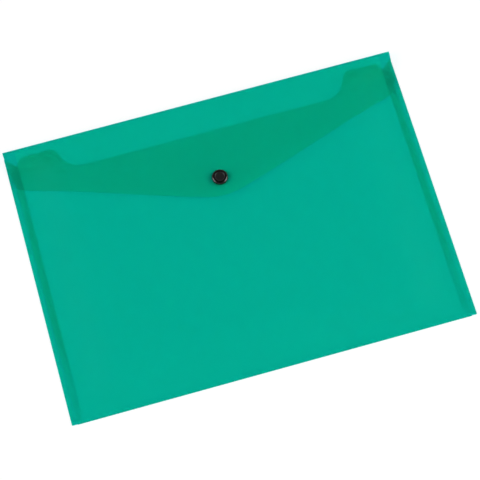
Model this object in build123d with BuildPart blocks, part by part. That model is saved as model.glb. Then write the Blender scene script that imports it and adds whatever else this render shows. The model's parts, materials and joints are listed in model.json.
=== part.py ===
from build123d import *
import os
from math import asin, atan2, cos, degrees, hypot, sin

# A document wallet for A4 papers, lying on its back. One sheet of polypropylene is folded at the
# bottom into a pocket, welded to a tab along each side, and folded over at the top into a pointed flap.
# A press stud holds the flap down. Millimetres: X across, Y towards the top fold, Z up from the table.

# Sheet and outside size
sheet = 0.25
wallet_width = 335.0
wallet_height = 240.0
back_corner_radius = 2.0

# Side tabs, turned in from the back panel
tab_width = 10.1
tab_gap = 0.10
tab_top_drop = 6.6
tab_top_slope = 8.4
tab_bottom_rise = 3.0
tab_bottom_slope = 5.0

# Front panel: its margins lie on the tabs, and its mouth runs down between two ears
front_inset = 3.9
mouth_drop = 29.1
ear_drop = 8.0
ear_inset = 17.5
ear_top_length = 24.5
ear_slant = 9.1
ear_outer_drop = 9.0
ear_radius = 8.0
mouth_radius = 12.0

# Room for papers: the front rises from the weld and from the bottom fold to a level middle
pocket_depth = 4.3
shoulder_width = 30.0
shoulder_radius = 150.0
bottom_flat = 0.6

# Flap, measured down from the end of the top fold
flap_clearance = 0.35
flap_point = 89.3
flap_side = 34.3
flap_side_taper = 3.0
flap_corner_radius = 12.5
flap_tip_radius = 50.0

# Press stud: the place of its axis below the top edge, and the play between its halves
stud_drop = 72.3
snap_gap = 0.30
snap_play = 0.20
snap_undercut = 0.20
lip_play = 0.15

# Cap, with its pin through the flap
cap_radius = 6.5
cap_height = 1.9
cap_edge = 0.5
cap_rim = 1.9
dish_depth = 0.35
dish_slope = 0.5
dimple_radius = 0.8
dimple_depth = 0.2

# Pins, the same in the cap and in the backing, each spread into a head at its end
pin_radius = 1.3
pin_clearance = 0.05
pin_sheet_clearance = 0.10
pin_head_radius = 1.85
pin_head_height = 0.4

# Socket under the flap
socket_radius = 5.2
socket_height = 2.4
socket_roof = 0.6
socket_cavity_radius = 2.9
socket_lip_height = 0.5
socket_chamfer = 0.3

# Stud on the front panel, and its backing inside the pocket
flange_radius = 5.2
flange_height = 0.5
flange_chamfer = 0.2
knob_flare = 0.25
knob_head_height = 0.4
knob_chamfer = 0.2
knob_bore_play = 0.10
backing_radius = 6.0
backing_height = 0.9
backing_chamfer = 0.3

# Levels, from the table up
half_width = wallet_width / 2
half_height = wallet_height / 2
tab_bottom = sheet + tab_gap
tab_top = tab_bottom + sheet
margin_top = tab_top + sheet
pocket_top = sheet + pocket_depth
front_top = pocket_top + sheet
side_fold_radius = tab_top / 2
bottom_fold_radius = margin_top / 2
top_fold_radius = (front_top + flap_clearance + sheet) / 2

# Lines where the flat panels end and their folds begin
side_fold_x = half_width - side_fold_radius
bottom_fold_y = -half_height + bottom_fold_radius
top_fold_y = half_height - top_fold_radius
tab_inner_x = half_width - tab_width
front_half_width = half_width - front_inset
mouth_y = half_height - mouth_drop
ear_y = half_height - ear_drop

# The flap leaves the top fold at the slope that sets it down on the socket
stud_y = half_height - stud_drop
flap_rest_z = front_top + flange_height + snap_gap + socket_height
stud_reach = top_fold_y - stud_y
stud_rise = flap_rest_z - top_fold_radius
fold_inner_radius = top_fold_radius - sheet
flap_slope = atan2(stud_rise, stud_reach) - asin(fold_inner_radius / hypot(stud_reach, stud_rise))
flap_up = Vector(0, sin(flap_slope), cos(flap_slope))
fold_centre = Vector(0, top_fold_y, top_fold_radius)
flap_plane = Plane(origin=fold_centre + flap_up * fold_inner_radius, x_dir=(1, 0, 0), z_dir=flap_up)
socket_seat = Vector(0, stud_y, flap_rest_z)
cap_seat = socket_seat + flap_up * sheet


def section_through(seat, up):
    """Plane for half of a turned profile: its X is the radius and its Y the height above the seat."""
    return Plane(origin=seat, x_dir=(1, 0, 0), z_dir=Vector(1, 0, 0).cross(up))


def save(piece, name):
    piece.part.label = name
    export_step(piece.part, f"parts/{name}.step")


os.makedirs("parts", exist_ok=True)

# Back panel: the flat rectangle that the wallet lies on
with BuildPart() as back_panel:
    with BuildSketch() as back_outline:
        with Locations((0, bottom_fold_y)):
            Rectangle(2 * side_fold_x, top_fold_y - bottom_fold_y, align=(Align.CENTER, Align.MIN))
        fillet(back_outline.vertices().group_by(Axis.Y)[0], radius=back_corner_radius)
    extrude(amount=sheet)
save(back_panel, "back_panel")

# Side tabs: a hook-shaped section, cut to slanted ends
with BuildPart() as right_side_tab:
    with BuildSketch(Plane.XZ) as tab_section:
        with BuildLine():
            CenterArc((side_fold_x, side_fold_radius), side_fold_radius, -90, 180)
            Line((side_fold_x, tab_top), (tab_inner_x, tab_top))
            Line((tab_inner_x, tab_top), (tab_inner_x, tab_bottom))
            Line((tab_inner_x, tab_bottom), (side_fold_x, tab_bottom))
            CenterArc((side_fold_x, side_fold_radius), side_fold_radius - sheet, -90, 180)
            Line((side_fold_x, sheet), (side_fold_x, 0))
        make_face()
    extrude(amount=half_height, both=True)
    with BuildSketch() as tab_outline:
        with BuildLine():
            Polyline(
                (half_width, half_height - tab_top_drop),
                (tab_inner_x, half_height - tab_top_drop - tab_top_slope),
                (tab_inner_x, -half_height + tab_bottom_rise + tab_bottom_slope),
                (half_width, -half_height + tab_bottom_rise),
                close=True,
            )
        make_face()
    extrude(amount=tab_top, mode=Mode.INTERSECT)
save(right_side_tab, "right_side_tab")

with BuildPart() as left_side_tab:
    mirror(right_side_tab.part, about=Plane.YZ)
save(left_side_tab, "left_side_tab")

# Bottom fold: the tight half-round bend between the back and front panels
with BuildPart() as bottom_fold:
    with BuildSketch(Plane.YZ) as bottom_section:
        with BuildLine():
            CenterArc((bottom_fold_y, bottom_fold_radius), bottom_fold_radius, 90, 180)
            Line((bottom_fold_y, 0), (bottom_fold_y, sheet))
            CenterArc((bottom_fold_y, bottom_fold_radius), bottom_fold_radius - sheet, 90, 180)
            Line((bottom_fold_y, tab_top), (bottom_fold_y, margin_top))
        make_face()
    extrude(amount=front_half_width, both=True)
save(bottom_fold, "bottom_fold")

# Space under the front panel above the weld: level in the middle, sloping down to three sides
with BuildPart() as pocket_space:
    with BuildSketch(Plane.XZ) as pocket_across:
        with BuildLine():
            Polyline(
                (-tab_inner_x, tab_top),
                (-tab_inner_x + shoulder_width, pocket_top),
                (tab_inner_x - shoulder_width, pocket_top),
                (tab_inner_x, tab_top),
                close=True,
            )
        make_face()
        fillet(pocket_across.vertices().group_by(Axis.Y)[-1], radius=shoulder_radius)
    extrude(amount=half_height, both=True)
    with BuildSketch(Plane.YZ) as pocket_along:
        with BuildLine():
            Polyline(
                (bottom_fold_y + bottom_flat, tab_top),
                (bottom_fold_y + bottom_flat + shoulder_width, pocket_top),
                (half_height, pocket_top),
                (half_height, tab_top),
                close=True,
            )
        make_face()
        fillet(pocket_along.vertices().group_by(Axis.Y)[-1].sort_by(Axis.X)[0], radius=shoulder_radius)
    extrude(amount=half_width, both=True, mode=Mode.INTERSECT)

# Front panel: flat margins, the raised middle, and the mouth and ears cut along its top
with BuildPart() as front_panel:
    with BuildSketch(Plane.XY.offset(tab_top)) as front_outline:
        with BuildLine():
            mouth_edge = FilletPolyline(
                (0, mouth_y),
                (half_width - ear_inset - ear_top_length - ear_slant, mouth_y),
                (half_width - ear_inset - ear_top_length, ear_y),
                (half_width - ear_inset, ear_y),
                radius=[mouth_radius, ear_radius],
            )
            Polyline(
                (half_width - ear_inset, ear_y),
                (front_half_width, ear_y - ear_outer_drop),
                (front_half_width, bottom_fold_y),
                (0, bottom_fold_y),
                (0, mouth_y),
            )
        make_face()
        mirror(about=Plane.YZ)
    extrude(amount=sheet)
    add(Pos(0, 0, sheet) * pocket_space.part)
    extrude(front_outline.sketch, amount=front_top, mode=Mode.INTERSECT)
    add(pocket_space.part, mode=Mode.SUBTRACT)
    with Locations((0, stud_y, front_top)):
        Hole(pin_radius + pin_sheet_clearance)
save(front_panel, "front_panel")

# Top fold: the soft bend that the flap turns on
with BuildPart() as flap_fold:
    turn = 180 - degrees(flap_slope)
    with BuildSketch(Plane.YZ) as top_section:
        with BuildLine():
            outer = CenterArc((top_fold_y, top_fold_radius), top_fold_radius, -90, turn)
            inner = CenterArc((top_fold_y, top_fold_radius), fold_inner_radius, -90, turn)
            Line(outer @ 0, inner @ 0)
            Line(outer @ 1, inner @ 1)
        make_face()
    extrude(amount=side_fold_x, both=True)
save(flap_fold, "flap_fold")

# Flap: a flat sheet with nearly upright sides, running down to a rounded point
with BuildPart() as flap_panel:
    with BuildSketch(flap_plane) as flap_outline:
        with BuildLine():
            Polyline(
                (-side_fold_x, 0),
                (side_fold_x, 0),
                (side_fold_x - flap_side_taper, -flap_side),
                (0, -flap_point),
                (-side_fold_x + flap_side_taper, -flap_side),
                close=True,
            )
        make_face()
        corners = flap_outline.vertices().sort_by(Axis.Y)
        fillet(corners[1:3], radius=flap_corner_radius)
        fillet(flap_outline.vertices().sort_by(Axis.Y)[0], radius=flap_tip_radius)
    extrude(amount=sheet)
    with BuildSketch(Plane(origin=socket_seat, x_dir=(1, 0, 0), z_dir=flap_up)):
        Circle(pin_radius + pin_sheet_clearance)
    extrude(amount=sheet, mode=Mode.SUBTRACT)
save(flap_panel, "flap_panel")

# Cap: a low button with a dished middle, and a pin that is spread under the socket's roof
with BuildPart() as snap_cap:
    pin_end = -(sheet + socket_roof + pin_head_height)
    dish_radius = cap_radius - cap_rim
    with BuildSketch(section_through(cap_seat, flap_up)) as cap_profile:
        with BuildLine():
            Polyline(
                (0, cap_height - dish_depth - dimple_depth),
                (0, pin_end),
                (pin_head_radius, pin_end),
                (pin_head_radius, pin_end + pin_head_height),
                (pin_radius, pin_end + pin_head_height),
                (pin_radius, 0),
                (cap_radius, 0),
                (cap_radius, cap_edge),
            )
            EllipticalCenterArc(
                (dish_radius + dish_slope, cap_edge),
                cap_rim - dish_slope,
                cap_height - cap_edge,
                arc_size=90,
            )
            Polyline(
                (dish_radius + dish_slope, cap_height),
                (dish_radius, cap_height - dish_depth),
                (dimple_radius, cap_height - dish_depth),
                (0, cap_height - dish_depth - dimple_depth),
            )
        make_face()
    revolve(axis=Axis(cap_seat, flap_up))
save(snap_cap, "snap_cap")

# Socket: a ring with a sprung lip round its mouth, held under the flap by the cap's pin
with BuildPart() as snap_socket:
    lip_radius = socket_cavity_radius - snap_undercut - snap_play
    with BuildSketch(section_through(socket_seat, flap_up)) as socket_profile:
        with BuildLine():
            Polyline(
                (pin_radius + pin_clearance, 0),
                (socket_radius, 0),
                (socket_radius, socket_chamfer - socket_height),
                (socket_radius - socket_chamfer, -socket_height),
                (lip_radius, -socket_height),
                (lip_radius, socket_lip_height - socket_height),
                (socket_cavity_radius, socket_lip_height - socket_height),
                (socket_cavity_radius, -socket_roof),
                (pin_radius + pin_clearance, -socket_roof),
                close=True,
            )
        make_face()
    revolve(axis=Axis(socket_seat, flap_up))
save(snap_socket, "snap_socket")

# Stud: a flange with a hollow knob that snaps past the socket's lip
stud_seat = Vector(0, stud_y, front_top)
upright = Vector(0, 0, 1)
with BuildPart() as snap_stud:
    knob_radius = socket_cavity_radius - snap_play
    neck_radius = knob_radius - snap_undercut - snap_play
    knob_bore = pin_head_radius + knob_bore_play
    neck_top = flange_height + snap_gap + socket_lip_height + lip_play
    knob_top = neck_top + knob_flare + knob_head_height
    with BuildSketch(section_through(stud_seat, upright)) as stud_profile:
        with BuildLine():
            Polyline(
                (pin_radius + pin_clearance, 0),
                (flange_radius, 0),
                (flange_radius, flange_height - flange_chamfer),
                (flange_radius - flange_chamfer, flange_height),
                (neck_radius, flange_height),
                (neck_radius, neck_top),
                (knob_radius, neck_top + knob_flare),
                (knob_radius, knob_top - knob_chamfer),
                (knob_radius - knob_chamfer, knob_top),
                (knob_bore, knob_top),
                (knob_bore, flange_height),
                (pin_radius + pin_clearance, flange_height),
                close=True,
            )
        make_face()
    revolve(axis=Axis(stud_seat, upright))
save(snap_stud, "snap_stud")

# Backing: a flat button inside the pocket, whose pin is spread in the knob
backing_seat = Vector(0, stud_y, pocket_top)
with BuildPart() as snap_backing:
    pin_top = sheet + flange_height + pin_head_height
    with BuildSketch(section_through(backing_seat, upright)) as backing_profile:
        with BuildLine():
            Polyline(
                (0, pin_top),
                (0, -backing_height),
                (backing_radius - backing_chamfer, -backing_height),
                (backing_radius, backing_chamfer - backing_height),
                (backing_radius, 0),
                (pin_radius, 0),
                (pin_radius, pin_top - pin_head_height),
                (pin_head_radius, pin_top - pin_head_height),
                (pin_head_radius, pin_top),
                close=True,
            )
        make_face()
    revolve(axis=Axis(backing_seat, upright))
save(snap_backing, "snap_backing")
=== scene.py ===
import json
from math import acos, atan2, ceil, cos, degrees, exp, pi, radians, sin, sqrt, tan

import bmesh
import bpy
from mathutils import Matrix, Vector
from mathutils.geometry import delaunay_2d_cdt
from mathutils.kdtree import KDTree


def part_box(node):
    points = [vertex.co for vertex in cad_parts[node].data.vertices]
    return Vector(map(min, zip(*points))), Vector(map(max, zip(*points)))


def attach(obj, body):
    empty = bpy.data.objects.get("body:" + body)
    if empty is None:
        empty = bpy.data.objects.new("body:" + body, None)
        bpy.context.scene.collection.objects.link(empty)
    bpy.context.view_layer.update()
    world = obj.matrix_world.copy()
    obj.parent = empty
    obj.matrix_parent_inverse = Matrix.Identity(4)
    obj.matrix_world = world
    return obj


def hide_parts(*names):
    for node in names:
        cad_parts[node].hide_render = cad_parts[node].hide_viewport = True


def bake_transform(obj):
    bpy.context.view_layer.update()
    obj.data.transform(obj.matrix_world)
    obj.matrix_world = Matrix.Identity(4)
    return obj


# A document wallet of translucent green sheet, lying closed on a white table
# Metres, in the CAD frame: X across the wallet, Y towards the fold that the flap turns on, Z up

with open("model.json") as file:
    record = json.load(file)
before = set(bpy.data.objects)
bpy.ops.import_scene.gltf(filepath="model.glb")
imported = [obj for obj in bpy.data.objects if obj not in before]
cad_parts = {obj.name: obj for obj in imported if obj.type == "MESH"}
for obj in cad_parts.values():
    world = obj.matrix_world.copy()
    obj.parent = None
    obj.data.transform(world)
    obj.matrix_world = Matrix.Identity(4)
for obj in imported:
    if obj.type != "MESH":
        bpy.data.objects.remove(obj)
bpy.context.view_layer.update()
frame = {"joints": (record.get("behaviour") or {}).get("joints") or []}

# Places read from the frame
BACK_LOW, BACK_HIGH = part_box("back_panel")
FRONT_LOW, FRONT_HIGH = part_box("front_panel")
TAB_LOW, TAB_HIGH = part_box("right_side_tab")
FLAP_LOW, FLAP_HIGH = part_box("flap_panel")
BOTTOM_FOLD_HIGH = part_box("bottom_fold")[1]
BACKING_LOW, BACKING_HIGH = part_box("snap_backing")
HINGE = Vector(next(j for j in frame["joints"] if j["name"] == "flap_hinge")["pos_m"])

# The front's margin over the side tabs is a little narrower than the solid's, and a thin gap parts them
FRONT_NARROWER = 0.0007
WELD_GAP = 0.00008

# Sizes of the sheet that follow from those places
SHEET = BACK_HIGH.z
HALF_WIDTH = TAB_HIGH.x
HALF_HEIGHT = HINGE.y + HINGE.z
SIDE_FOLD_X = BACK_HIGH.x
BOTTOM_FOLD_Y = BACK_LOW.y
BOTTOM_FOLD_RADIUS = BOTTOM_FOLD_HIGH.z / 2
FRONT_HALF = FRONT_HIGH.x - FRONT_NARROWER
FRONT_BOTTOM = FRONT_LOW.z
FRONT_TOP = FRONT_HIGH.z
TAB_INNER_X = TAB_LOW.x
TAB_TOP = FRONT_BOTTOM - WELD_GAP
STUD_Y = (BACKING_LOW.y + BACKING_HIGH.y) / 2

# The way up from the table
UPRIGHT = Vector((0, 0, 1))

# Back panel's lower corners
BACK_CORNER = 0.0006

# Slanted ends of the side tabs
TAB_TOP_DROP = 0.0052
TAB_TOP_SLOPE = 0.0098
TAB_BOTTOM_RISE = 0.0006
TAB_BOTTOM_SLOPE = 0.0074

# Dense film at the upper end of each tab: its steps along the tab, and its reach under the flap's side
WELD_STEPS = 5
DENSE_X = 0.1650

# Mouth of the pocket and the ears beside it
MOUTH_DROP = 0.0291
MOUTH_RADIUS = 0.018
EAR_DROP = 0.008
EAR_INSET = 0.0139
EAR_TOP = 0.0281
EAR_TILT = 0.0010
EAR_SLANT = 0.0091
EAR_OUTER_DROP = 0.0108
EAR_RADIUS = 0.008
EAR_OUTER_RADIUS = 0.004

# The front rises from the weld and from the bottom fold to a level middle
SHOULDER = 0.040

# Flap, measured down its slope from the end of the top fold
FLAP_SIDE = 0.0323
FLAP_SKEW = 0.0008
FLAP_TAPER = 0.0026
FLAP_POINT = 0.0885
FLAP_CORNER = 0.016
FLAP_TIP = 0.050
FLAP_SLOPE = atan2(FLAP_HIGH.z - FLAP_LOW.z - SHEET, FLAP_HIGH.y - FLAP_LOW.y)
FLAP_UP = Vector((0, sin(FLAP_SLOPE), cos(FLAP_SLOPE)))
FLAP_BACK = Vector((0, cos(FLAP_SLOPE), -sin(FLAP_SLOPE)))
FLAP_START = HINGE + FLAP_UP * (HINGE.z - SHEET)

# The flap comes down to this gap above the front, away from the fold and from the stud that holds it up
FLAP_GAP = 0.0005
FLAP_EASE = 0.030
FLAP_EASE_SIDE = 0.020
FLAP_HOLD = 0.032

# Where the socket sits against the flap's underside
SOCKET_SEAT = FLAP_START + FLAP_BACK * ((STUD_Y - FLAP_START.y) / cos(FLAP_SLOPE))

# Press stud: radii and heights of its four pieces
CAP_RADIUS = 0.0067
CAP_HEIGHT = 0.0023
CAP_CROWN_RADIUS = 0.0065
CAP_ROUND = 0.0019
DISH_RADIUS = 0.0036
DISH_DEPTH = 0.00032
DISH_SLOPE = 0.0006
SATIN_RADIUS = 0.0038
DIMPLE_RADIUS = 0.0008
DIMPLE_DEPTH = 0.0002
PIN_RADIUS = 0.0013
PIN_CLEARANCE = 0.00005
PIN_HOLE = PIN_RADIUS + PIN_CLEARANCE
PIN_HEAD_RADIUS = 0.00185
PIN_HEAD_HEIGHT = 0.0004
SOCKET_RADIUS = 0.0052
SOCKET_HEIGHT = 0.0024
SOCKET_ROOF = 0.0006
SOCKET_CAVITY = 0.0029
SOCKET_LIP = 0.0025
SOCKET_LIP_HEIGHT = 0.0005
FLANGE_RADIUS = 0.0052
FLANGE_HEIGHT = 0.0005
NECK_RADIUS = 0.0023
NECK_TOP = 0.00145
KNOB_RADIUS = 0.0027
KNOB_FLARE = 0.00025
KNOB_TOP = 0.0021
KNOB_BORE = 0.00195
BACKING_RADIUS = 0.0060
BACKING_HEIGHT = 0.0009

# Roundings of the stud's edges
CRISP = 0.0001
EASED = 0.0002
SOFT = 0.0003
ROUND = 0.0004

# Fineness of the meshes, and the angle from which an edge is sharp
PANEL_STEP = 0.004
FLAP_STEP = 0.0025
ARC_STEP = radians(6)
FOLD_STEPS = 24
RUN_STEPS = 48
TURN_STEPS = 96
SHARP = radians(35)

# Inner points of a sheet keep this share of a step from its rim
RIM_CLEARANCE = 0.6

# Output of the triangulation that leaves out what lies outside the outline
KEEP_INSIDE = 1

# The step that a slope is measured over, and a distance that counts as none
SLOPE_STEP = 0.0001
TINY = 1e-7

# Numbers of the films on a piece of sheet, and of the finishes on a piece of the stud
FACE, EDGE, WELD, MARGIN = range(4)
GLOSS, SATIN = range(2)

# Refractive index: 1 in folded film and cut edges, where inner reflections would show as black
PANEL_IOR = 1.3
FOLD_IOR = 1.0

# Green film: the colour that it scatters, the tint and the share of the light that passes, and its index
PANEL_FILM = {"scatter": (0.0, 0.496, 0.199), "tint": (0.12, 0.91, 0.99), "clear": 0.66, "ior": PANEL_IOR}
FLAP_FILM = {"scatter": (0.0, 0.503, 0.204), "tint": (0.12, 0.917, 0.995), "clear": 0.63, "ior": PANEL_IOR}
# The folds scatter a little less than the panels: a painted shade on the bends
FOLD_FILM = {"scatter": (0.0, 0.455, 0.182), "tint": (0.12, 0.90, 0.98), "clear": 0.66, "ior": FOLD_IOR}
WELD_FILM = {"scatter": (0.0, 0.30, 0.13), "tint": (0.12, 0.66, 0.74), "clear": 0.62, "ior": FOLD_IOR}
MARGIN_FILM = {"scatter": (0.0, 0.34, 0.14), "tint": (0.12, 0.70, 0.78), "clear": 0.64, "ior": FOLD_IOR}
EDGE_FILM = {"scatter": (0.0, 0.42, 0.17), "tint": (0.2, 0.8, 0.85), "clear": 0.5, "ior": FOLD_IOR}

# Its frosted surface: a fine grain, a gloss that varies slowly, and the blur of what lies behind
GRAIN_SCALE = 2600.0
GRAIN_DETAIL = 2.0
GRAIN_STRENGTH = 0.15
GRAIN_HEIGHT = 0.00003
CLOUD_SCALE = 60.0
CLOUD_DETAIL = 3.0
FILM_ROUGHNESS = (0.28, 0.44)
FILM_SURFACE_IOR = 1.49
FILM_SPECULAR = 0.25
BLUR_ROUGHNESS = 0.5

# Painted shadow: a darker oval round the rivet, wider than high, for the cap's shadow and the dark stud
# pieces under the flap
RIVET_SHADOW_INNER = 0.0058
RIVET_SHADOW_OUTER = 0.0120
RIVET_SHADOW_OVAL = 1.4
RIVET_SHADOW_SHIFT = Vector((0, -0.0008, 0))
RIVET_SHADOW_SHADE = (0.80, 0.80, 0.80)

# Darker film at the upper ends of the weld, and painted shade along the flap's sides over them
WELD_HEAD_X = 0.1568
WELD_HEAD_Y = 0.0830
WELD_HEAD_SLANT = 0.9
WELD_SOFT = 0.0012
WELD_HEAD_SHADE = (1.0, 0.70, 0.89)
FLAP_SIDE_PAINTED_SHADE = (1.0, 0.925, 0.985)

# Painted shade at the tops of the ears, where less light reaches under the flap, and darker film at the
# upper ends of the tabs
EAR_LOW = 0.086
EAR_HIGH = 0.106
EAR_PAINTED_SHADE = (1.0, 0.87, 0.86)
TAB_HEAD_LOW = 0.064
TAB_HEAD_HIGH = 0.080
TAB_HEAD_SHADE = (1.0, 0.97, 0.955)

# Lighter weld towards the bottom
LIGHT_WELD_LOW = -0.115
LIGHT_WELD_HIGH = -0.020
LIGHT_WELD_CLEAR = 0.86

# Black plastic of the stud: its grey level, its roughness, and the size and height of its grain
GLOSS_BLACK = {"level": 0.004, "roughness": 0.26, "grain_size": 0.0008, "grain_height": 0.00001}
SATIN_BLACK = {"level": 0.008, "roughness": 0.45, "grain_size": 0.0003, "grain_height": 0.00002}
STUD_GRAIN_STRENGTH = 0.3
STUD_GRAIN_SPREAD = 0.2
STUD_IOR = 1.46

# Table: half its side, and its drop below the wallet
FLOOR_HALF = 6.0
FLOOR_DROP = 0.0002

# Its grey level to bounced light, and to the eye a glow and the level of a surface that takes shadows
FLOOR_LEVEL = 0.8
FLOOR_GLOW = 0.8
FLOOR_SHADE = 0.25

# A soft box on each side of the picture, given by its direction and power
LAMP_DISTANCE = 2.2
LAMP_SIZE = 1.8
LAMPS = {
    "right_lamp": (Vector((0.80, -0.28, 0.42)), 56.0),
    "left_lamp": (Vector((-0.88, 0.10, 0.42)), 46.0),
}

# A pale horizon under a dim ceiling
HORIZON_TOP = 0.15
CEILING_FOOT = 0.5
HORIZON_LIGHT = 1.0
CEILING_LIGHT = 0.03

# Camera: the photograph's point of view
CAMERA_PLACE = Vector((-0.1120, -0.4806, 1.3884))
CAMERA_TARGET = Vector((0.00173, -0.00657, 0.0))
CAMERA_ROLL = radians(-2.366)
CAMERA_LENS = 135.45
CAMERA_SENSOR = 36


# Outlines

def rounded(corners):
    """Points of a closed outline given as (x, y, radius) corners, each rounded by an arc."""
    points = []
    for i, (x, y, radius) in enumerate(corners):
        here = Vector((x, y))
        if radius == 0:
            points.append(here)
            continue
        before = (Vector(corners[i - 1][:2]) - here).normalized()
        after = (Vector(corners[(i + 1) % len(corners)][:2]) - here).normalized()
        half = acos(max(-1.0, min(1.0, before.dot(after)))) / 2
        centre = here + (before + after).normalized() * (radius / sin(half))
        start = here + before * (radius / tan(half)) - centre
        sweep = pi - 2 * half
        turn = -1 if before.cross(after) > 0 else 1
        steps = max(2, ceil(sweep / ARC_STEP))
        for k in range(steps + 1):
            points.append(centre + Matrix.Rotation(turn * sweep * k / steps, 2) @ start)
    return points


def divided(points, step):
    """The same closed outline with its long runs cut into even steps."""
    made = []
    for here, there in zip(points, points[1:] + points[:1]):
        steps = max(1, ceil((there - here).length / step))
        made += [here.lerp(there, k / steps) for k in range(steps)]
    return made


def mirrored(corners):
    """Corners of a closed outline from those of its right half, listed from end to end."""
    return corners + [(-x, y, radius) for x, y, radius in reversed(corners)]


def bend(centre, radius, first, last):
    """Points of an arc, its angles in degrees."""
    angles = [radians(first + (last - first) * k / FOLD_STEPS) for k in range(FOLD_STEPS + 1)]
    return [Vector((centre[0] + radius * cos(a), centre[1] + radius * sin(a))) for a in angles]


def folded(centre, radius, first, last):
    """Section of a bent sheet: its outer side, then its inner side back."""
    return bend(centre, radius, first, last) + bend(centre, radius - SHEET, last, first)


def smoothstep(t):
    """0 up to 0, 1 from 1 on, and a smooth rise between them."""
    t = max(0.0, min(1.0, t))
    return t * t * (3 - 2 * t)


# Meshes

def add_object(name, data):
    """An object in the scene."""
    made = bpy.data.objects.new(name, data)
    bpy.context.scene.collection.objects.link(made)
    return made


def piece(name, points, faces, kinds, body, node, materials):
    """A mesh that stands for a CAD node. kinds gives the material of each face by number.

    It rides on a body, where one is given.
    """
    mesh = bpy.data.meshes.new(name)
    mesh.from_pydata(points, [], faces)
    for material in materials:
        mesh.materials.append(material)
    mesh.polygons.foreach_set("material_index", kinds)
    work = bmesh.new()
    work.from_mesh(mesh)
    bmesh.ops.recalc_face_normals(work, faces=work.faces)
    work.to_mesh(mesh)
    work.free()
    mesh.shade_smooth()
    mesh.set_sharp_from_angle(angle=SHARP)
    made = add_object(name, mesh)
    if body:
        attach(made, body)
    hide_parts(node)
    return made


def inner_points(rim, step):
    """A triangular grid of points over the box of a rim, clear of the rim itself."""
    nearest = KDTree(len(rim))
    for i, p in enumerate(rim):
        nearest.insert(p.to_3d(), i)
    nearest.balance()
    low = Vector((min(p.x for p in rim), min(p.y for p in rim)))
    high = Vector((max(p.x for p in rim), max(p.y for p in rim)))
    made = []
    for j in range(1, ceil((high.y - low.y) / step)):
        for i in range(ceil((high.x - low.x) / step)):
            p = low + Vector((i + 0.5 * (j % 2), j)) * step
            if nearest.find(p.to_3d())[2] > RIM_CLEARANCE * step:
                made.append(p)
    return made


def sheet_piece(name, outline, step, place, body, node, face):
    """A thin closed sheet over a flat outline. place(x, y) gives its underside and the way up there."""
    rim = divided(outline, step)
    grid = rim + inner_points(rim, step)
    flat, _, triangles, *_ = delaunay_2d_cdt(grid, [], [list(range(len(rim)))], KEEP_INSIDE, TINY)
    used = sorted({i for t in triangles for i in t})
    count = len(used)
    order = {i: k for k, i in enumerate(used)}
    triangles = [tuple(order[i] for i in t) for t in triangles]
    placed = [place(*flat[i]) for i in used]
    points = [under for under, _ in placed] + [under + up * SHEET for under, up in placed]
    edges = {(t[k - 1], t[k]) for t in triangles for k in range(3)}
    walls = [(a, b, b + count, a + count) for a, b in sorted(edges) if (b, a) not in edges]
    faces = [t[::-1] for t in triangles]
    faces += [tuple(i + count for i in t) for t in triangles]
    faces += walls
    kinds = [FACE] * (2 * len(triangles)) + [EDGE] * len(walls)
    return piece(name, points, faces, kinds, body, node, [face, film_edge])


def swept_piece(name, section, ends, body, node, films, film_at=None):
    """A thin section, given as its outer side and then its inner side back, carried along a straight way.

    ends(p) gives where each of its points starts and stops. film_at(left, outer), where given, numbers the
    film of a face by the steps that are left to the end of the way and by the face's outer edge.
    """
    size = len(section)
    runs = [ends(p) for p in section]
    points = [a.lerp(b, k / RUN_STEPS) for k in range(RUN_STEPS + 1) for a, b in runs]
    faces = []
    kinds = []
    for k in range(RUN_STEPS):
        for i in range(size):
            j = (i + 1) % size
            faces.append((k * size + i, k * size + j, (k + 1) * size + j, (k + 1) * size + i))
            outer = max(section[i].x, section[j].x)
            kinds.append(film_at(RUN_STEPS - k, outer) if film_at else FACE)
    for start in (0, RUN_STEPS * size):
        for i in range(size // 2 - 1):
            faces.append((start + i, start + i + 1, start + size - 2 - i, start + size - 1 - i))
            kinds.append(EDGE)
    return piece(name, points, faces, kinds, body, node, films)


def turned_piece(name, corners, seat, up, body, node, satin_radius=0):
    """A profile of (radius, height, rounding) corners, turned about the axis that goes up from its seat.

    The first faces of the profile, out to satin_radius, are satin. The rest is gloss.
    """
    profile = rounded(corners)
    side = Vector((1, 0, 0))
    across = up.cross(side)
    points = []
    rings = []
    for radius, height in profile:
        steps = TURN_STEPS if radius > TINY else 1
        rings.append([len(points) + k for k in range(steps)] * (TURN_STEPS // steps))
        for k in range(steps):
            a = 2 * pi * k / TURN_STEPS
            points.append(seat + up * height + (side * cos(a) + across * sin(a)) * radius)
    satin_rings = next(i for i, p in enumerate(profile) if p.x > satin_radius)
    faces = []
    kinds = []
    for i, here in enumerate(rings):
        there = rings[(i + 1) % len(rings)]
        for k in range(TURN_STEPS):
            corner = dict.fromkeys((here[k - 1], here[k], there[k], there[k - 1]))
            if len(corner) > 2:
                faces.append(tuple(corner))
                kinds.append(SATIN if i < satin_rings else GLOSS)
    return piece(name, points, faces, kinds, body, node, [gloss_black, satin_black])


# Shader nodes

def shader_node(tree, kind, **values):
    """A shader node with options and socket values set. A _ stands for a space in a socket's name."""
    made = tree.nodes.new(kind)
    for key, value in values.items():
        name = key.replace("_", " ")
        if name in made.inputs:
            made.inputs[name].default_value = value
        else:
            setattr(made, key, value)
    return made


def new_material(name):
    """A material, with its node tree and the tree's output."""
    material = bpy.data.materials.new(name)
    material.use_nodes = True
    material.node_tree.nodes.clear()
    tree = material.node_tree
    output = shader_node(tree, "ShaderNodeOutputMaterial")
    return material, tree, output


def grey(level):
    """A grey colour."""
    return level, level, level, 1


def ramp(tree, source, low, high, first=0.0, last=1.0):
    """A smooth step from first, where the source is low, to last, where it is high."""
    made = shader_node(
        tree, "ShaderNodeMapRange", interpolation_type="SMOOTHSTEP",
        From_Min=low, From_Max=high, To_Min=first, To_Max=last,
    )
    tree.links.new(source, made.inputs["Value"])
    return made.outputs["Result"]


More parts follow.
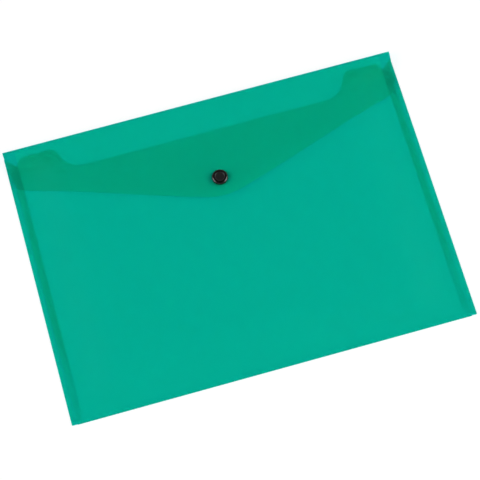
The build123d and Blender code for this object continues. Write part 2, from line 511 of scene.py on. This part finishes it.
def greater(tree, one, other):
    """The greater of two values."""
    made = shader_node(tree, "ShaderNodeMath", operation="MAXIMUM")
    tree.links.new(one, made.inputs[0])
    tree.links.new(other, made.inputs[1])
    return made.outputs[0]


def noise(tree, place, scale, detail):
    """Noise at a place, from 0 to 1."""
    made = shader_node(tree, "ShaderNodeTexNoise", Scale=scale, Detail=detail)
    tree.links.new(place, made.inputs["Vector"])
    return made.outputs["Fac"]


def roughened(tree, shader, source, low, high):
    """Let a shader's roughness follow a noise, from low to high."""
    made = shader_node(tree, "ShaderNodeMapRange", To_Min=low, To_Max=high)
    tree.links.new(source, made.inputs["Value"])
    tree.links.new(made.outputs["Result"], shader.inputs["Roughness"])


def grained(tree, shader, source, strength, height):
    """Let a shader's surface rise with a noise."""
    made = shader_node(tree, "ShaderNodeBump", Strength=strength, Distance=height)
    tree.links.new(source, made.inputs["Height"])
    tree.links.new(made.outputs["Normal"], shader.inputs["Normal"])


def mixed(tree, first, second):
    """A mix of two shaders. The share of the second is left to the caller."""
    made = shader_node(tree, "ShaderNodeMixShader")
    tree.links.new(first.outputs[0], made.inputs[1])
    tree.links.new(second.outputs[0], made.inputs[2])
    return made


def mark_colour(tree, socket, share, colour, shade):
    """Multiply a colour by a shade where the share is 0, over what the socket has already."""
    made = shader_node(tree, "ShaderNodeMix", data_type="RGBA")
    under, over = (s for s in made.inputs if s.type == "RGBA")
    under.default_value = [c * f for c, f in zip(colour, shade)] + [1]
    over.default_value = [*colour, 1]
    if socket.is_linked:
        tree.links.new(socket.links[0].from_socket, over)
    tree.links.new(share, made.inputs["Factor"])
    tree.links.new(next(s for s in made.outputs if s.type == "RGBA"), socket)


# Masks over the film

def aside_and_up(tree, place):
    """Distance from the wallet's middle line, and height in its plane."""
    split = shader_node(tree, "ShaderNodeSeparateXYZ")
    tree.links.new(place, split.inputs[0])
    aside = shader_node(tree, "ShaderNodeMath", operation="ABSOLUTE")
    tree.links.new(split.outputs["X"], aside.inputs[0])
    return aside.outputs[0], split.outputs["Y"]


def height_mask(low, high):
    """A mask that falls from 1 to 0 between two heights in the wallet's plane."""
    def mask(tree, place):
        _, up = aside_and_up(tree, place)
        return ramp(tree, up, low, high, 1.0, 0.0)
    return mask


def rivet_shadow_mask(tree, place):
    """0 in an oval round the rivet, where a shadow is painted on the flap, rising to 1 away from it."""
    offset = shader_node(tree, "ShaderNodeVectorMath", operation="SUBTRACT")
    offset.inputs[1].default_value = SOCKET_SEAT + RIVET_SHADOW_SHIFT
    tree.links.new(place, offset.inputs[0])
    oval = shader_node(tree, "ShaderNodeVectorMath", operation="MULTIPLY")
    oval.inputs[1].default_value = (1.0, RIVET_SHADOW_OVAL, 1.0)
    tree.links.new(offset.outputs["Vector"], oval.inputs[0])
    away = shader_node(tree, "ShaderNodeVectorMath", operation="LENGTH")
    tree.links.new(oval.outputs["Vector"], away.inputs[0])
    return ramp(tree, away.outputs["Value"], RIVET_SHADOW_INNER, RIVET_SHADOW_OUTER)


def flap_side_shade_mask(tree, place):
    """0 along the flap's two sides, where shade is painted over the weld, and 1 between them."""
    aside, _ = aside_and_up(tree, place)
    return ramp(tree, aside, WELD_HEAD_X, WELD_HEAD_X + WELD_SOFT, 1.0, 0.0)


def weld_mask(tree, place):
    """0 at the two upper ends of the front's weld, where the film is darker, and 1 elsewhere."""
    aside, up = aside_and_up(tree, place)
    slanted = shader_node(tree, "ShaderNodeMath", operation="MULTIPLY_ADD")
    slanted.inputs[1].default_value = -WELD_HEAD_SLANT
    tree.links.new(aside, slanted.inputs[0])
    tree.links.new(up, slanted.inputs[2])
    low = WELD_HEAD_Y - WELD_HEAD_SLANT * WELD_HEAD_X
    below = ramp(tree, slanted.outputs[0], low, low + 2 * WELD_SOFT, 1.0, 0.0)
    beside = ramp(tree, aside, WELD_HEAD_X, WELD_HEAD_X + WELD_SOFT, 1.0, 0.0)
    return greater(tree, below, beside)


def low_mask(tree, place):
    """0 at the lower ends of the tabs under the front, where the weld is lightest, and 1 elsewhere."""
    aside, up = aside_and_up(tree, place)
    above = ramp(tree, up, LIGHT_WELD_LOW, LIGHT_WELD_HIGH)
    beside = ramp(tree, aside, FRONT_HALF - WELD_SOFT, FRONT_HALF + WELD_SOFT)
    return greater(tree, above, beside)


# Materials

def film_material(name, scatter, tint, clear, ior, marks=(), thin=None):
    """Frosted translucent sheet: part of the light passes and takes the tint, the rest scatters.

    Each mark is a mask and a shade: where the mask is 0, the sheet's colours are multiplied by the shade.
    thin is a mask and a share of light: where the mask is 0, that share passes.
    """
    material, tree, output = new_material(name)
    link = tree.links.new
    place = shader_node(tree, "ShaderNodeTexCoord").outputs["Object"]
    body = shader_node(
        tree, "ShaderNodeBsdfPrincipled", Base_Color=(*scatter, 1),
        IOR=FILM_SURFACE_IOR, Specular_IOR_Level=FILM_SPECULAR,
    )
    grained(tree, body, noise(tree, place, GRAIN_SCALE, GRAIN_DETAIL), GRAIN_STRENGTH, GRAIN_HEIGHT)
    roughened(tree, body, noise(tree, place, CLOUD_SCALE, CLOUD_DETAIL), *FILM_ROUGHNESS)
    blurred = shader_node(
        tree, "ShaderNodeBsdfRefraction", Color=(*tint, 1), Roughness=BLUR_ROUGHNESS, IOR=ior,
    )
    straight = shader_node(tree, "ShaderNodeBsdfTransparent", Color=(*tint, 1))
    for mask, shade in marks:
        share = mask(tree, place)
        for shader, colour in ((body, scatter), (blurred, tint), (straight, tint)):
            mark_colour(tree, shader.inputs[0], share, colour, shade)
    through = mixed(tree, blurred, straight)
    link(shader_node(tree, "ShaderNodeLightPath").outputs["Is Shadow Ray"], through.inputs["Fac"])
    both = mixed(tree, body, through)
    both.inputs["Fac"].default_value = clear
    if thin:
        mask, thin_clear = thin
        link(ramp(tree, mask(tree, place), 0.0, 1.0, thin_clear, clear), both.inputs["Fac"])
    link(both.outputs["Shader"], output.inputs["Surface"])
    return material


def stud_material(name, level, roughness, grain_size, grain_height):
    """Black moulded plastic with a fine grain."""
    material, tree, output = new_material(name)
    place = shader_node(tree, "ShaderNodeTexCoord").outputs["Object"]
    grain = noise(tree, place, 1 / grain_size, GRAIN_DETAIL)
    body = shader_node(tree, "ShaderNodeBsdfPrincipled", Base_Color=grey(level), IOR=STUD_IOR)
    grained(tree, body, grain, STUD_GRAIN_STRENGTH, grain_height)
    low = (1 - STUD_GRAIN_SPREAD) * roughness
    high = (1 + STUD_GRAIN_SPREAD) * roughness
    roughened(tree, body, grain, low, high)
    tree.links.new(body.outputs["BSDF"], output.inputs["Surface"])
    return material


def table_material():
    """White to the eye and to reflections, with the wallet's shadow, and plain grey to other light."""
    material, tree, output = new_material("white_table")
    link = tree.links.new
    path = shader_node(tree, "ShaderNodeLightPath").outputs
    seen = greater(tree, path["Is Camera Ray"], path["Is Glossy Ray"])
    seen = greater(tree, seen, path["Is Transmission Ray"])
    plain = shader_node(tree, "ShaderNodeBsdfDiffuse", Color=grey(FLOOR_LEVEL))
    shaded = shader_node(tree, "ShaderNodeBsdfDiffuse", Color=grey(FLOOR_SHADE))
    glow = shader_node(tree, "ShaderNodeEmission", Strength=FLOOR_GLOW)
    white = shader_node(tree, "ShaderNodeAddShader")
    link(shaded.outputs[0], white.inputs[0])
    link(glow.outputs[0], white.inputs[1])
    both = mixed(tree, plain, white)
    link(seen, both.inputs["Fac"])
    link(both.outputs["Shader"], output.inputs["Surface"])
    return material


# Painted shade on the film: a shadow round the rivet, shade along the flap's sides, and shade at the
# front's ears
flap_marks = [(rivet_shadow_mask, RIVET_SHADOW_SHADE), (flap_side_shade_mask, FLAP_SIDE_PAINTED_SHADE)]
front_marks = [(height_mask(EAR_LOW, EAR_HIGH), EAR_PAINTED_SHADE), (weld_mask, WELD_HEAD_SHADE)]
tab_marks = [(height_mask(TAB_HEAD_LOW, TAB_HEAD_HIGH), TAB_HEAD_SHADE)]
light_weld = (low_mask, LIGHT_WELD_CLEAR)
film_back = film_material("green_film", **PANEL_FILM)
film_flap = film_material("green_film_flap", **FLAP_FILM, marks=flap_marks)
film_front = film_material("green_film_front", **PANEL_FILM, marks=front_marks)
film_fold = film_material("green_film_fold", **FOLD_FILM)
film_tab = film_material("green_film_tab", **FOLD_FILM, marks=tab_marks, thin=light_weld)
film_weld = film_material("green_film_weld", **WELD_FILM)
film_margin = film_material("green_film_margin", **MARGIN_FILM)
film_edge = film_material("green_film_edge", **EDGE_FILM)
gloss_black = stud_material("stud_gloss", **GLOSS_BLACK)
satin_black = stud_material("stud_satin", **SATIN_BLACK)


# The sheet: back, front and flap

def back_place(x, y):
    """A point of the back's underside, and the way up there."""
    return Vector((x, y, 0)), UPRIGHT


def front_height(x, y):
    """Height of the front's underside."""
    across = smoothstep((TAB_INNER_X - abs(x)) / SHOULDER)
    along = smoothstep((y - BOTTOM_FOLD_Y) / SHOULDER)
    return FRONT_BOTTOM + (FRONT_TOP - SHEET - FRONT_BOTTOM) * across * along


def front_place(x, y):
    """A point of the front's underside, and the way up there."""
    step = SLOPE_STEP
    slope_x = (front_height(x + step, y) - front_height(x - step, y)) / (2 * step)
    slope_y = (front_height(x, y + step) - front_height(x, y - step)) / (2 * step)
    return Vector((x, y, front_height(x, y))), Vector((-slope_x, -slope_y, 1)).normalized()


def flap_height(x, along):
    """Y and height of the flap's underside, at a place that is measured along its slope from the fold."""
    flat = FLAP_START + FLAP_BACK * along
    low = front_height(x, flat.y) + SHEET + FLAP_GAP
    from_stud = Vector((x, flat.y - STUD_Y)).length
    aside = smoothstep(abs(x) / HALF_WIDTH * 2 - 1)
    ease = FLAP_EASE + (FLAP_EASE_SIDE - FLAP_EASE) * aside
    share = smoothstep(-along / ease) * (1 - exp(-((from_stud / FLAP_HOLD) ** 2)))
    return flat.y, flat.z + (low - flat.z) * share


def flap_place(x, along):
    """A point of the flap's underside, and the way up there."""
    step = SLOPE_STEP
    y, z = flap_height(x, along)
    slope_x = (flap_height(x + step, along)[1] - flap_height(x - step, along)[1]) / (2 * step)
    y_back, z_back = flap_height(x, along + step)
    y_fore, z_fore = flap_height(x, along - step)
    slope_y = (z_back - z_fore) / (y_back - y_fore)
    return Vector((x, y, z)), Vector((-slope_x, -slope_y, 1)).normalized()


def back_sheet():
    """The back, flat on the table."""
    outline = rounded(mirrored([
        (SIDE_FOLD_X, HINGE.y, 0),
        (SIDE_FOLD_X, BOTTOM_FOLD_Y, BACK_CORNER),
    ]))
    sheet_piece("back_sheet", outline, PANEL_STEP, back_place, "pocket", "back_panel", film_back)


def front_sheet():
    """The pocket's front, with its mouth between two ears."""
    ear_y = HALF_HEIGHT - EAR_DROP
    ear_outer_x = HALF_WIDTH - EAR_INSET
    ear_inner_x = ear_outer_x - EAR_TOP
    outline = rounded(mirrored([
        (FRONT_HALF, BOTTOM_FOLD_Y, 0),
        (FRONT_HALF, ear_y - EAR_OUTER_DROP, 0),
        (ear_outer_x, ear_y + EAR_TILT, EAR_OUTER_RADIUS),
        (ear_inner_x, ear_y, EAR_RADIUS),
        (ear_inner_x - EAR_SLANT, HALF_HEIGHT - MOUTH_DROP, MOUTH_RADIUS),
    ]))
    sheet_piece("front_sheet", outline, PANEL_STEP, front_place, "pocket", "front_panel", film_front)


def flap_sheet():
    """The pointed flap, a little askew."""
    outline = rounded([
        (SIDE_FOLD_X, 0, 0),
        (SIDE_FOLD_X - FLAP_TAPER, -FLAP_SIDE - FLAP_SKEW, FLAP_CORNER),
        (0, -FLAP_POINT, FLAP_TIP),
        (-SIDE_FOLD_X + FLAP_TAPER, -FLAP_SIDE + FLAP_SKEW, FLAP_CORNER),
        (-SIDE_FOLD_X, 0, 0),
    ])
    sheet_piece("flap_sheet", outline, FLAP_STEP, flap_place, "flap", "flap_panel", film_flap)


# The folds between them, and the side tabs

def straight_across(half):
    """Ends of a fold that runs across the wallet, from -half to half."""
    return lambda p: (Vector((-half, *p)), Vector((half, *p)))


def bottom_crease():
    """The tight fold between back and front."""
    section = folded((BOTTOM_FOLD_Y, BOTTOM_FOLD_RADIUS), BOTTOM_FOLD_RADIUS, 90, 270)
    ends = straight_across(FRONT_HALF)
    swept_piece("bottom_crease", section, ends, "pocket", "bottom_fold", [film_fold, film_edge])


def flap_roll():
    """The soft fold that the flap turns on, between pocket and flap."""
    section = folded((HINGE.y, HINGE.z), HINGE.z, -90, 90 - degrees(FLAP_SLOPE))
    ends = straight_across(SIDE_FOLD_X)
    roll = swept_piece("flap_roll", section, ends, None, "flap_fold", [film_fold, film_edge])
    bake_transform(roll)


def tab_ends(side):
    """Slanted ends of a tab. The lower one also follows the back's rounded corner."""
    def ends(p):
        share = (HALF_WIDTH - p.x) / (HALF_WIDTH - TAB_INNER_X)
        beyond = max(0.0, p.x - HALF_WIDTH + BACK_CORNER)
        low = -HALF_HEIGHT + TAB_BOTTOM_RISE + TAB_BOTTOM_SLOPE * share**2
        low += BACK_CORNER - sqrt(BACK_CORNER**2 - beyond**2)
        high = HALF_HEIGHT - TAB_TOP_DROP - TAB_TOP_SLOPE * share
        return Vector((side * p.x, low, p.y)), Vector((side * p.x, high, p.y))
    return ends


def tab_film(left, outer):
    """A tab's film: over its last steps dense under the front's margin, and a little less so beside it."""
    if outer < FRONT_HALF + WELD_GAP:
        return WELD if left <= WELD_STEPS else FACE
    return MARGIN if left < WELD_STEPS and outer < DENSE_X + WELD_GAP else FACE


def side_tab(word, side):
    """A strip that is turned in from one side, over the back and under the front's margin."""
    centre = (SIDE_FOLD_X, TAB_TOP / 2)
    section = bend(centre, TAB_TOP / 2, -90, 90)
    section += [Vector((x, TAB_TOP)) for x in (DENSE_X, FRONT_HALF, TAB_INNER_X)]
    section += [Vector((x, TAB_TOP - SHEET)) for x in (TAB_INNER_X, FRONT_HALF, DENSE_X)]
    section += bend(centre, TAB_TOP / 2 - SHEET, 90, -90)
    films = [film_tab, film_edge, film_weld, film_margin]
    swept_piece(f"{word}_tab", section, tab_ends(side), "pocket", f"{word}_side_tab", films, tab_film)


# The press stud

def stud_cap():
    """The cap on the flap, with a dished top and a pin that holds the socket."""
    pin_end = -(SHEET + SOCKET_ROOF + PIN_HEAD_HEIGHT)
    dish = CAP_HEIGHT - DISH_DEPTH
    profile = [
        (0, dish - DIMPLE_DEPTH, 0),
        (DIMPLE_RADIUS, dish, EASED),
        (DISH_RADIUS, dish, SOFT),
        (DISH_RADIUS + DISH_SLOPE, CAP_HEIGHT, ROUND),
        (CAP_CROWN_RADIUS, CAP_HEIGHT, CAP_ROUND),
        (CAP_RADIUS, 0, CRISP),
        (PIN_RADIUS, 0, 0),
        (PIN_RADIUS, pin_end + PIN_HEAD_HEIGHT, 0),
        (PIN_HEAD_RADIUS, pin_end + PIN_HEAD_HEIGHT, CRISP),
        (PIN_HEAD_RADIUS, pin_end, EASED),
        (0, pin_end, 0),
    ]
    seat = SOCKET_SEAT + FLAP_UP * SHEET
    turned_piece("stud_cap", profile, seat, FLAP_UP, "flap", "snap_cap", SATIN_RADIUS)


def stud_socket():
    """The ring under the flap, with a lip that snaps over the knob."""
    lip_top = SOCKET_LIP_HEIGHT - SOCKET_HEIGHT
    profile = [
        (PIN_HOLE, 0, 0),
        (SOCKET_RADIUS, 0, CRISP),
        (SOCKET_RADIUS, -SOCKET_HEIGHT, SOFT),
        (SOCKET_LIP, -SOCKET_HEIGHT, EASED),
        (SOCKET_LIP, lip_top, CRISP),
        (SOCKET_CAVITY, lip_top, 0),
        (SOCKET_CAVITY, -SOCKET_ROOF, CRISP),
        (PIN_HOLE, -SOCKET_ROOF, 0),
    ]
    turned_piece("stud_socket", profile, SOCKET_SEAT, FLAP_UP, "flap", "snap_socket")


def stud_knob():
    """The hollow knob on the front, with an undercut neck."""
    profile = [
        (PIN_HOLE, 0, 0),
        (FLANGE_RADIUS, 0, 0),
        (FLANGE_RADIUS, FLANGE_HEIGHT, EASED),
        (NECK_RADIUS, FLANGE_HEIGHT, CRISP),
        (NECK_RADIUS, NECK_TOP, CRISP),
        (KNOB_RADIUS, NECK_TOP + KNOB_FLARE, CRISP),
        (KNOB_RADIUS, KNOB_TOP, EASED),
        (KNOB_BORE, KNOB_TOP, CRISP),
        (KNOB_BORE, FLANGE_HEIGHT, 0),
        (PIN_HOLE, FLANGE_HEIGHT, 0),
    ]
    seat = Vector((0, STUD_Y, FRONT_TOP))
    turned_piece("stud_knob", profile, seat, UPRIGHT, "pocket", "snap_stud")


def stud_backing():
    """The button inside the pocket, with a pin that holds the knob."""
    pin_top = SHEET + FLANGE_HEIGHT + PIN_HEAD_HEIGHT
    profile = [
        (0, -BACKING_HEIGHT, 0),
        (BACKING_RADIUS, -BACKING_HEIGHT, ROUND),
        (BACKING_RADIUS, 0, CRISP),
        (PIN_RADIUS, 0, 0),
        (PIN_RADIUS, pin_top - PIN_HEAD_HEIGHT, 0),
        (PIN_HEAD_RADIUS, pin_top - PIN_HEAD_HEIGHT, CRISP),
        (PIN_HEAD_RADIUS, pin_top, EASED),
        (0, pin_top, 0),
    ]
    seat = Vector((0, STUD_Y, FRONT_TOP - SHEET))
    turned_piece("stud_backing", profile, seat, UPRIGHT, "pocket", "snap_backing")


# Table, light and camera

def add_table():
    """The table under the wallet."""
    mesh = bpy.data.meshes.new("floor")
    corners = [(-FLOOR_HALF, -FLOOR_HALF), (FLOOR_HALF, -FLOOR_HALF)]
    corners += [(FLOOR_HALF, FLOOR_HALF), (-FLOOR_HALF, FLOOR_HALF)]
    mesh.from_pydata([(x, y, -FLOOR_DROP) for x, y in corners], [], [(0, 1, 2, 3)])
    mesh.materials.append(table_material())
    floor = add_object("floor", mesh)


def add_lamps():
    """The soft boxes, turned towards the wallet."""
    for name, (way, power) in LAMPS.items():
        lamp = bpy.data.lights.new(name, "AREA")
        lamp.energy = power
        lamp.shape = "SQUARE"
        lamp.size = LAMP_SIZE
        made = add_object(name, lamp)
        made.location = way.normalized() * LAMP_DISTANCE
        made.rotation_euler = way.to_track_quat("Z", "Y").to_euler()


def add_world():
    """The light of the room, by the height that it comes from."""
    world = bpy.data.worlds.new("studio")
    world.use_nodes = True
    bpy.context.scene.world = world
    tree = world.node_tree
    split = shader_node(tree, "ShaderNodeSeparateXYZ")
    tree.links.new(shader_node(tree, "ShaderNodeTexCoord").outputs["Generated"], split.inputs[0])
    light = ramp(tree, split.outputs["Z"], HORIZON_TOP, CEILING_FOOT, HORIZON_LIGHT, CEILING_LIGHT)
    sky = tree.nodes["Background"]
    sky.inputs["Color"].default_value = grey(1)
    tree.links.new(light, sky.inputs["Strength"])


def add_camera():
    """The camera, rolled a little about its line of sight."""
    camera = bpy.data.cameras.new("camera")
    camera.lens = CAMERA_LENS
    camera.sensor_width = CAMERA_SENSOR
    made = add_object("camera", camera)
    look = (CAMERA_PLACE - CAMERA_TARGET).to_track_quat("Z", "Y").to_matrix().to_4x4()
    roll = Matrix.Rotation(CAMERA_ROLL, 4, "Z")
    made.matrix_world = Matrix.Translation(CAMERA_PLACE) @ look @ roll
    bpy.context.scene.camera = made


# The wallet
back_sheet()
front_sheet()
flap_sheet()
bottom_crease()
flap_roll()
side_tab("left", -1)
side_tab("right", 1)
stud_cap()
stud_socket()
stud_knob()
stud_backing()

# The studio
add_table()
add_lamps()
add_world()
add_camera()
bpy.context.scene.view_settings.view_transform = "Standard"
